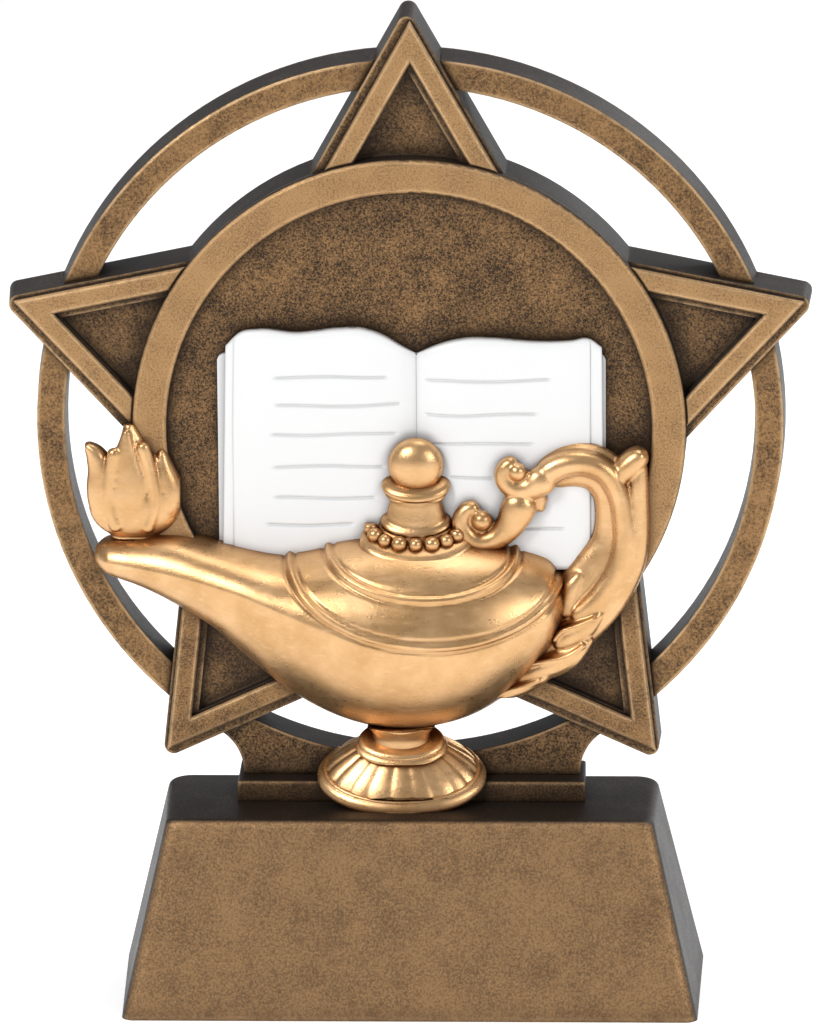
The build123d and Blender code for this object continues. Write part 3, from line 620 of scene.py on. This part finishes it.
def band(points, y, half_depth, width=None):
    """A rounded band along (x, z, half width) points, with round ends; a fixed width may replace them."""
    keys = [(p[0], p[1], width if width else p[2]) for p in points]
    path = path_through(keys, TUBE_STEP)
    tangent = np.gradient(path[:, :2], axis=0)
    tangent /= np.linalg.norm(tangent, axis=1, keepdims=True)
    side = np.stack([-tangent[:, 1], tangent[:, 0]], axis=1)
    walked = np.concatenate([[0.0], np.cumsum(np.linalg.norm(np.diff(path[:, :2], axis=0), axis=1))])
    close = rounded_end(walked, path[0, 2]) * rounded_end(walked[-1] - walked, path[-1, 2])
    widest = path[:, 2].max()
    turn = np.linspace(0, 2 * math.pi, TUBE_SIDES, endpoint=False)
    rings = []
    for (x, z, half), (sx, sz), share in zip(path, side, close):
        across = half * share * np.cos(turn)
        deep = half_depth * (half / widest) ** BAND_THINNING * share * np.sin(turn)
        rings.append(np.stack([x + sx * across, y + deep, z + sz * across], axis=1))
    return tube_mesh(rings)


def handle(material):
    """The handle with its raised band, spur, two scrolls and leaves, as one cast skin."""
    nodes = (
        "lamp_handle", "handle_thumb_spur", "handle_upper_scroll", "handle_lower_scroll",
        "handle_scroll_stem", "handle_leaf_upper", "handle_leaf_middle", "handle_leaf_lower",
    )
    parts = [
        band(BAR, BAR_Y, BAR_DEPTH),
        band(FRONT_BAND, BAND_Y, BAND_DEPTH),
        band(OUTER_LIMB, LIMB_Y, LIMB_DEPTH),
        band(SPUR, SPUR_Y, SPUR_DEPTH),
        band(UPPER_SCROLL, SCROLL_Y, SCROLL_DEPTH),
        band(LOWER_SCROLL, SCROLL_Y, SCROLL_DEPTH),
        band(LEAF_TIP, LEAF_TIP_Y, LEAF_TIP_DEPTH),
        band(LIMB_ROOT, STALK_Y, STALK_DEPTH),
        band(LEAF_STALK, STALK_Y, STALK_DEPTH),
    ]
    for x, z, radius in (UPPER_EYE, LOWER_EYE):
        parts.append(ellipsoid((x, EYE_Y, z), (radius, radius, radius)))
    for leaf, crest in zip(LEAVES, LEAF_CRESTS):
        parts.append(band(leaf, LEAF_Y, LEAF_DEPTH))
        parts.append(band(crest, CREST_Y, CREST_DEPTH, CREST_RADIUS))
    thing = fused("handle_cast", parts, nodes, HANDLE_SMOOTHING)
    return finish_piece(thing, nodes, material)


def flame(material):
    """The flame: a bulb on a seat, a double middle petal between two ridges, and a petal each side."""
    nodes = ("flame_core", "flame_left_tongue", "flame_right_tongue")
    x, z, half_width, half_height = FLAME_BULB
    parts = [ellipsoid((x, FLAME_Y, z), (half_width, FLAME_DEPTH, half_height))]
    parts.append(tube_mesh(relief_rings(FLAME_SEAT, x, FLAME_Y, FLAME_SEAT_Z)))
    for petal, y, half_depth in FLAME_PETALS:
        parts.append(band(petal, y, half_depth))
    for ridge in FLAME_RIDGES:
        parts.append(band(ridge, FLAME_RIDGE_Y, FLAME_RIDGE_DEPTH, FLAME_RIDGE_RADIUS))
    thing = fused("flame_cast", parts, nodes, FLAME_SMOOTHING)
    return finish_piece(thing, nodes, material)


def rule_relief(x, z, rules):
    """How deep the ruled lines are cut; each line wavers a little and fades at its ends."""
    waver, pace, shift = RULE_WAVER
    depth = np.zeros_like(x)
    for count, (height, start, end) in enumerate(rules):
        line = height + waver * np.sin(pace * x + shift * count) + RULE_SLOPE * (x - start)
        fade = 1 / (1 + np.exp(-(x - start) / RULE_FADE)) / (1 + np.exp(-(end - x) / RULE_FADE))
        depth += RULE_DEPTH * fade * np.exp(-(((z - line) / RULE_WIDTH) ** 2))
    return depth


def page_heights(rules):
    """Heights for a page's level rows, close together where a line is cut."""
    rows = [np.linspace(PAGE_BOTTOM, PAGE_LEVEL_TOP, PAGE_ROWS)]
    for height, _, _ in rules:
        rows.append(np.linspace(height - LINE_BELOW, height + LINE_ABOVE, LINE_ROWS))
    return np.unique(np.concatenate(rows))


def page_front(top, edges, crown, inset, rules):
    """A page's front skin, column by column from the gutter to the fore edge."""
    outline = np.array(top)
    near_gutter = np.linspace(0, GUTTER_SHARE, GUTTER_COLUMNS)
    across = np.unique(np.concatenate([np.linspace(0, 1, PAGE_COLUMNS), near_gutter]))
    outer = max(outline[0, 0], outline[-1, 0], key=lambda x: abs(x - GUTTER_X))
    sign = math.copysign(1, outer - GUTTER_X)
    reach = abs(outer - GUTTER_X) - inset
    level = page_heights(rules)
    up = np.concatenate([np.zeros(len(level)), np.linspace(0, 1, PAGE_TOP_ROWS + 1)[1:]])
    level = np.concatenate([level, np.full(PAGE_TOP_ROWS, PAGE_LEVEL_TOP)])
    rise = through(*np.array(crown).T, across)
    front = []
    for share, forward in zip(across, rise):
        x_top = GUTTER_X + sign * reach * share
        drift = (edges[1] - edges[0]) * share
        z_top = float(through(outline[:, 0], outline[:, 1], np.array([x_top]))[0])
        z = level + (z_top - PAGE_LEVEL_TOP) * up
        x = x_top + drift * (z_top - z) / (z_top - PAGE_BOTTOM)
        roll = TOP_ROLL * np.clip((z - z_top + TOP_ROLL_HEIGHT) / TOP_ROLL_HEIGHT, 0, 1) ** 2
        y = PAGE_BASE - forward + roll + rule_relief(x, z, rules)
        front.append(np.stack([x, y, z], axis=1))
    return np.array(front)


def slab(front, back_y):
    """Points and faces of a closed slab between a front skin and a flat back."""
    back = front.copy()
    back[:, :, 1] = back_y
    rows, columns = front.shape[:2]
    size = rows * columns
    faces = grid_faces(rows, columns)
    faces += [tuple(size + i for i in reversed(face)) for face in grid_faces(rows, columns)]
    border = [(r, 0) for r in range(rows)]
    border += [(rows - 1, c) for c in range(1, columns)]
    border += [(r, columns - 1) for r in range(rows - 2, -1, -1)]
    border += [(0, c) for c in range(columns - 2, 0, -1)]
    loop = [r * columns + c for r, c in border]
    for here, after in zip(loop, loop[1:] + loop[:1]):
        faces.append((here, after, size + after, size + here))
    return np.concatenate([front.reshape(-1, 3), back.reshape(-1, 3)]), faces


def page(name, cad_node, front, material):
    """One curved page: its front skin over a flat back."""
    back_y = room_of((cad_node,))[1][1]
    points, faces = slab(front, back_y)
    thing = new_object(name, kept_in(points, (cad_node,)), faces)
    return finish_piece(thing, (cad_node,), material)


def book(material):
    """Two page blocks, with a curved and ruled leaf on each."""
    left_block = page_front(LEFT_TOP, LEFT_EDGE, BLOCK_CROWN, 0.0, ())
    right_block = page_front(RIGHT_TOP, RIGHT_EDGE, BLOCK_CROWN, 0.0, ())
    left_leaf = page_front(LEFT_TOP, LEFT_EDGE, PAGE_CROWN, LEAF_INSET, LEFT_RULES)
    right_leaf = page_front(RIGHT_TOP, RIGHT_EDGE, PAGE_CROWN, LEAF_INSET, RIGHT_RULES)
    page("page_block_left_cast", "book_pages_left", left_block, material)
    page("page_block_right_cast", "book_pages_right", right_block, material)
    page("top_page_left_cast", "book_top_page_left", left_leaf, material)
    page("top_page_right_cast", "book_top_page_right", right_leaf, material)


# Material settings. How open a surface is, from untouched to fully darkened.
OPEN_FACE = 0.95
DEEP_HOLLOW = 0.45
# The normal's y where a face starts to count as front, and where it is wholly front.
FRONT_TURN = (-0.35, -0.8)
# How well the rounded and the flat normal agree, where wear starts and where it is full.
EDGE_TURN = (1 - 0.01, 1 - 0.1)
BEVEL_SAMPLES = 6
FINE_HOLLOW_SAMPLES = 12


def shader(name):
    """A new material: its tree and its main shader."""
    material = bpy.data.materials.new(name)
    material.use_nodes = True
    tree = material.node_tree
    main = tree.nodes["Principled BSDF"]
    return material, tree, main


def node(tree, kind, **settings):
    """A new shader node with its settings."""
    made = tree.nodes.new(kind)
    for key, value in settings.items():
        setattr(made, key, value)
    return made


def noise(tree, scale, detail=4.0, roughness=0.6, stretch=None):
    """Noise in the part's own metres; scale is in cycles per metre."""
    place = node(tree, "ShaderNodeTexCoord")
    made = node(tree, "ShaderNodeTexNoise")
    made.inputs["Scale"].default_value = scale
    made.inputs["Detail"].default_value = detail
    made.inputs["Roughness"].default_value = roughness
    source = place.outputs["Object"]
    if stretch:
        mapping = node(tree, "ShaderNodeMapping")
        mapping.inputs["Scale"].default_value = stretch
        tree.links.new(source, mapping.inputs["Vector"])
        source = mapping.outputs["Vector"]
    tree.links.new(source, made.inputs["Vector"])
    return made.outputs["Fac"]


def ranged(tree, source, low, high, to_low=0.0, to_high=1.0):
    """A value stretched from one range to another, and held inside it."""
    made = node(tree, "ShaderNodeMapRange")
    tree.links.new(source, made.inputs["Value"])
    made.inputs["From Min"].default_value = low
    made.inputs["From Max"].default_value = high
    made.inputs["To Min"].default_value = to_low
    made.inputs["To Max"].default_value = to_high
    return made.outputs["Result"]


def maths(tree, how, first, second):
    """Two values combined, where either may be a plain number."""
    made = node(tree, "ShaderNodeMath", operation=how)
    for socket, value in zip(made.inputs, (first, second)):
        if isinstance(value, (int, float)):
            socket.default_value = value
        else:
            tree.links.new(value, socket)
    return made.outputs[0]


def mixed(tree, amount, first, second):
    """Two colours mixed by an amount, where either may be a plain colour."""
    made = node(tree, "ShaderNodeMix", data_type="RGBA")
    tree.links.new(amount, made.inputs["Factor"])
    # The node has a set of sockets for each kind of data; these are the colour ones.
    colour_inputs = (made.inputs[6], made.inputs[7])
    colour_output = made.outputs[2]
    for socket, value in zip(colour_inputs, (first, second)):
        if isinstance(value, tuple):
            socket.default_value = (*value, 1.0)
        else:
            tree.links.new(value, socket)
    return colour_output


def front_share(tree):
    """1 on faces that look to the front, 0 on sides, tops and back."""
    place = node(tree, "ShaderNodeTexCoord")
    split = node(tree, "ShaderNodeSeparateXYZ")
    tree.links.new(place.outputs["Normal"], split.inputs[0])
    return ranged(tree, split.outputs["Y"], *FRONT_TURN)


# From ambient occlusion: on the bronze it places the patina in the hollows, on the lamp's gold and the pages
# it places painted shade.
def hollow_share(tree, distance, samples=8):
    """1 in creases and pockets, 0 on open faces."""
    made = node(tree, "ShaderNodeAmbientOcclusion", samples=samples)
    made.inputs["Distance"].default_value = distance
    return ranged(tree, made.outputs["AO"], OPEN_FACE, DEEP_HOLLOW)


def edge_share(tree, radius):
    """1 along edges, from how far a rounded normal turns away from the flat one."""
    soft = node(tree, "ShaderNodeBevel", samples=BEVEL_SAMPLES)
    soft.inputs["Radius"].default_value = radius
    plain = node(tree, "ShaderNodeNewGeometry")
    turned_by = node(tree, "ShaderNodeVectorMath", operation="DOT_PRODUCT")
    tree.links.new(soft.outputs["Normal"], turned_by.inputs[0])
    tree.links.new(plain.outputs["Normal"], turned_by.inputs[1])
    return ranged(tree, turned_by.outputs["Value"], *EDGE_TURN)


def surface_relief(tree, main, height, distance, strength, edge_radius=None):
    """A fine bump on the shader, over softened edges where a radius is given."""
    made = node(tree, "ShaderNodeBump")
    made.inputs["Strength"].default_value = strength
    made.inputs["Distance"].default_value = distance
    tree.links.new(height, made.inputs["Height"])
    if edge_radius:
        soft = node(tree, "ShaderNodeBevel", samples=BEVEL_SAMPLES)
        soft.inputs["Radius"].default_value = edge_radius
        tree.links.new(soft.outputs["Normal"], made.inputs["Normal"])
    tree.links.new(made.outputs["Normal"], main.inputs["Normal"])


SIDE_PAINT = (0.016, 0.0115, 0.009)
SIDE_PAINT_WORN = (0.24, 0.15, 0.08)
SIDE_DUST = (0.16, 0.095, 0.045)
WORN_GOLD = (0.78, 0.52, 0.28)
SPECKLE_SPREAD = 0.12
HOLLOW_GOLD_LEFT = 0.1
DULL = 0.5
BRIGHT = 0.38


def antique_bronze(name, gold, dark, coverage, edge_radius, hollow, fineness, mottling):
    """Dark paint with gold rubbed over the front: speckled, brighter on edges, dark in the hollows."""
    material, tree, main = shader(name)
    speckle = noise(tree, fineness, 4.0, 0.8)
    mottle = ranged(tree, noise(tree, 150.0, 4.0, 0.65), 0.3, 0.7, -mottling / 2, mottling / 2)
    level = maths(tree, "ADD", speckle, mottle)
    rubbed = ranged(tree, level, coverage - SPECKLE_SPREAD, coverage + SPECKLE_SPREAD)
    hollows = hollow_share(tree, hollow)
    rubbed = maths(tree, "MULTIPLY", rubbed, ranged(tree, hollows, 0.0, 1.0, 1.0, HOLLOW_GOLD_LEFT))

    patches = ranged(tree, noise(tree, 600.0), 0.35, 0.5, 0.45, 1.0)
    worn_edge = maths(tree, "MULTIPLY", edge_share(tree, edge_radius), patches)
    worn_edge = maths(tree, "MULTIPLY", worn_edge, ranged(tree, hollows, 0.0, 0.6, 1.0, 0.0))
    front_colour = mixed(tree, worn_edge, mixed(tree, rubbed, dark, gold), WORN_GOLD)

    dust = ranged(tree, level, 0.58, 0.72, 0.0, 0.8)
    dusted = mixed(tree, dust, SIDE_PAINT, SIDE_DUST)
    side_colour = mixed(tree, maths(tree, "MULTIPLY", worn_edge, 0.5), dusted, SIDE_PAINT_WORN)

    facing = front_share(tree)
    tree.links.new(mixed(tree, facing, side_colour, front_colour), main.inputs["Base Color"])
    metal = maths(tree, "MULTIPLY", facing, ranged(tree, rubbed, 0.0, 1.0, 0.35, 0.95))
    tree.links.new(metal, main.inputs["Metallic"])
    tree.links.new(ranged(tree, rubbed, 0.0, 1.0, DULL, BRIGHT), main.inputs["Roughness"])
    main.inputs["Specular IOR Level"].default_value = 0.3
    surface_relief(tree, main, speckle, 0.00012, 0.4, edge_radius)
    return material


def plate_bronze():
    """The plate, its pockets and the medallion's floor: dark, with gold left on the open faces."""
    return antique_bronze(
        "antique_bronze_cast", gold=(0.38, 0.215, 0.095), dark=(0.022, 0.012, 0.006),
        coverage=0.53, edge_radius=0.0009, hollow=0.009, fineness=3400.0, mottling=0.12,
    )


def ring_bronze():
    """The ring and the lower frames: duller, with more paint left on them."""
    return antique_bronze(
        "ring_bronze_cast", gold=(0.36, 0.205, 0.09), dark=(0.06, 0.032, 0.014),
        coverage=0.48, edge_radius=0.0011, hollow=0.003, fineness=3000.0, mottling=0.16,
    )


def frame_bronze():
    """The medallion's rim and the upper frames: rubbed almost to plain gold."""
    return antique_bronze(
        "gold_frame_cast", gold=(0.45, 0.265, 0.12), dark=(0.15, 0.08, 0.035),
        coverage=0.43, edge_radius=0.0011, hollow=0.002, fineness=3000.0, mottling=0.14,
    )


def base_bronze():
    """The base: evenly speckled bronze on the sloping front."""
    return antique_bronze(
        "base_bronze_cast", gold=(0.42, 0.25, 0.12), dark=(0.12, 0.066, 0.03),
        coverage=0.49, edge_radius=0.0015, hollow=0.004, fineness=2800.0, mottling=0.13,
    )


GOLD_DEEP = (0.63, 0.365, 0.16)
GOLD_LIGHT = (0.77, 0.475, 0.235)
GOLD_FLECK = (0.92, 0.64, 0.37)
# Painted shade: the deep red-brown laid into the lamp's creases and pockets, where shade falls.
GOLD_PAINTED_SHADE = (0.22, 0.085, 0.024)


def satin_gold():
    """The lamp's gold: satin metal with a fine grain, with painted shade, deeper and redder, in the creases.
    """
    material, tree, main = shader("satin_gold_cast")
    grain = noise(tree, 2600.0, 4.0, 0.75)
    drift = noise(tree, 160.0, 3.0, 0.55)
    brushed = noise(tree, 900.0, 4.0, 0.6, (0.35, 1.0, 1.0))
    light = mixed(tree, ranged(tree, drift, 0.35, 0.65), GOLD_DEEP, GOLD_LIGHT)
    flecked = mixed(tree, ranged(tree, brushed, 0.55, 0.75, 0.0, 0.35), light, GOLD_FLECK)
    # Painted shade: creases and pockets found by ambient occlusion are darkened towards the painted shade
    # colour.
    with_painted_shade = mixed(tree, hollow_share(tree, 0.0034, FINE_HOLLOW_SAMPLES), flecked, GOLD_PAINTED_SHADE)
    tree.links.new(with_painted_shade, main.inputs["Base Color"])
    main.inputs["Metallic"].default_value = 0.9
    tree.links.new(ranged(tree, brushed, 0.3, 0.7, 0.25, 0.35), main.inputs["Roughness"])
    surface_relief(tree, main, grain, 0.00008, 0.4)
    return material


PAGE_PAINT = (0.79, 0.79, 0.785)
# Painted shade: the grey laid into the pages' ruled lines and creases.
PAGE_PAINTED_SHADE = (0.48, 0.48, 0.48)


def page_white():
    """Painted white pages: satin, with a little painted shade in the ruled lines and other creases."""
    material, tree, main = shader("page_white_cast")
    # Painted shade: occluded grooves and creases darken towards the painted shade grey.
    tone = mixed(tree, hollow_share(tree, 0.0016, FINE_HOLLOW_SAMPLES), PAGE_PAINT, PAGE_PAINTED_SHADE)
    tree.links.new(tone, main.inputs["Base Color"])
    main.inputs["Roughness"].default_value = 0.42
    surface_relief(tree, main, noise(tree, 900.0, 3.0, 0.5), 0.00004, 0.25)
    return material


FELT_DARK = (0.010, 0.010, 0.011)
FELT_PALE = (0.045, 0.045, 0.048)


def felt():
    """Black felt under the base."""
    material, tree, main = shader("felt_cast")
    fluff = noise(tree, 2600.0, 6.0, 0.8)
    tree.links.new(mixed(tree, fluff, FELT_DARK, FELT_PALE), main.inputs["Base Color"])
    main.inputs["Roughness"].default_value = 0.95
    surface_relief(tree, main, fluff, 0.0003, 0.8)
    return material


STEEL_DARK = (0.42, 0.42, 0.43)
STEEL_PALE = (0.62, 0.62, 0.63)


def pin_steel():
    """Plain steel of the hidden pins."""
    material, tree, main = shader("pin_steel_cast")
    streak = noise(tree, 1200.0, 3.0, 0.5, (1.0, 1.0, 0.05))
    tree.links.new(mixed(tree, streak, STEEL_DARK, STEEL_PALE), main.inputs["Base Color"])
    main.inputs["Metallic"].default_value = 1.0
    main.inputs["Roughness"].default_value = 0.35
    return material


def paint(names, material):
    """Gives CAD nodes that stay in view their material."""
    for name in names:
        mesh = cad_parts[name].data
        mesh.materials.clear()
        mesh.materials.append(material)


FLOOR_RADIUS = 6.0
FLOOR_COLOURS = ((0.88, 0.88, 0.88), (0.9, 0.9, 0.9))
# A little light of its own keeps the floor as pale as the photograph's background.
FLOOR_GLOW = 0.4
SKY_COLOUR = (0.95, 0.97, 1.0, 1.0)
SKY_STRENGTH = 0.32
# Soft lights: name, place, size in metres and power in watts.
STUDIO_LIGHTS = (
    ("key", (-0.55, -0.75, 0.75), 0.3, 6.2),
    ("fill", (0.75, -0.65, 0.45), 0.3, 2.2),
    ("top", (0.1, 0.15, 1.0), 0.6, 4.6),
    ("rim", (0.5, 0.6, 0.5), 0.4, 2.0),
)


def pale_floor(height):
    """A pale matt floor that reaches past the picture."""
    bpy.ops.mesh.primitive_circle_add(
        vertices=96, radius=FLOOR_RADIUS, fill_type="NGON", location=(0, 0, height)
    )
    floor = bpy.context.object
    floor.name = "floor"
    material, tree, main = shader("floor_pale")
    tree.links.new(mixed(tree, noise(tree, 40.0), *FLOOR_COLOURS), main.inputs["Base Color"])
    main.inputs["Roughness"].default_value = 0.8
    main.inputs["Emission Color"].default_value = (1.0, 1.0, 1.0, 1.0)
    main.inputs["Emission Strength"].default_value = FLOOR_GLOW
    floor.data.materials.append(material)
    floor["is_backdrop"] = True


def soft_light(name, place, size, power, target):
    """A square light that looks at the target."""
    data = bpy.data.lights.new(name, "AREA")
    data.size = size
    data.energy = power
    lamp = bpy.data.objects.new(name, data)
    bpy.context.scene.collection.objects.link(lamp)
    lamp.location = Vector(place)
    lamp.rotation_mode = "QUATERNION"
    lamp.rotation_quaternion = (target - lamp.location).to_track_quat("-Z", "Y")


def studio():
    """Pale floor, even surroundings and soft lights."""
    low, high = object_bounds()
    pale_floor(low.z)
    world = bpy.data.worlds.new("studio")
    world.use_nodes = True
    background = world.node_tree.nodes["Background"]
    background.inputs["Color"].default_value = SKY_COLOUR
    background.inputs["Strength"].default_value = SKY_STRENGTH
    bpy.context.scene.world = world
    for light in STUDIO_LIGHTS:
        soft_light(*light, target=(low + high) / 2)


def camera():
    """A long lens a little to the right of the front and above it."""
    data = bpy.data.cameras.new("camera")
    data.lens = LENS
    data.sensor_width = 36.0
    eye = bpy.data.objects.new("camera", data)
    bpy.context.scene.collection.objects.link(eye)
    elevation = math.radians(ELEVATION)
    azimuth = math.radians(AZIMUTH)
    level = math.cos(elevation)
    back = Vector((math.sin(azimuth) * level, -math.cos(azimuth) * level, math.sin(elevation)))
    eye.location = Vector(TARGET) + back * DISTANCE
    eye.rotation_mode = "QUATERNION"
    eye.rotation_quaternion = (-back).to_track_quat("-Z", "Y") @ Quaternion((0, 0, 1), math.radians(ROLL))
    bpy.context.scene.camera = eye


def main():
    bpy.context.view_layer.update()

    gold = satin_gold()
    white = page_white()
    plate = plate_bronze()
    ring = ring_bronze()
    frames = frame_bronze()

    lamp_body(gold)
    finial(gold)
    bead_string(gold)
    stand(gold)
    handle(gold)
    flame(gold)
    book(white)

    paint(("star_plate", "medallion_disc", "riser_block", "ring_neck"), plate)
    paint(("outer_ring", "star_frame_lower_left", "star_frame_lower_right"), ring)
    paint(("medallion_rim", "star_frame_top", "star_frame_upper_left", "star_frame_upper_right"), frames)
    paint(("base_block",), base_bronze())
    paint(("book_cover",), white)
    paint(("base_felt_pad",), felt())
    paint(("locating_pins",), pin_steel())

    studio()
    camera()
    bpy.context.view_layer.update()


bpy.context.scene.view_settings.view_transform = "Standard"
main()
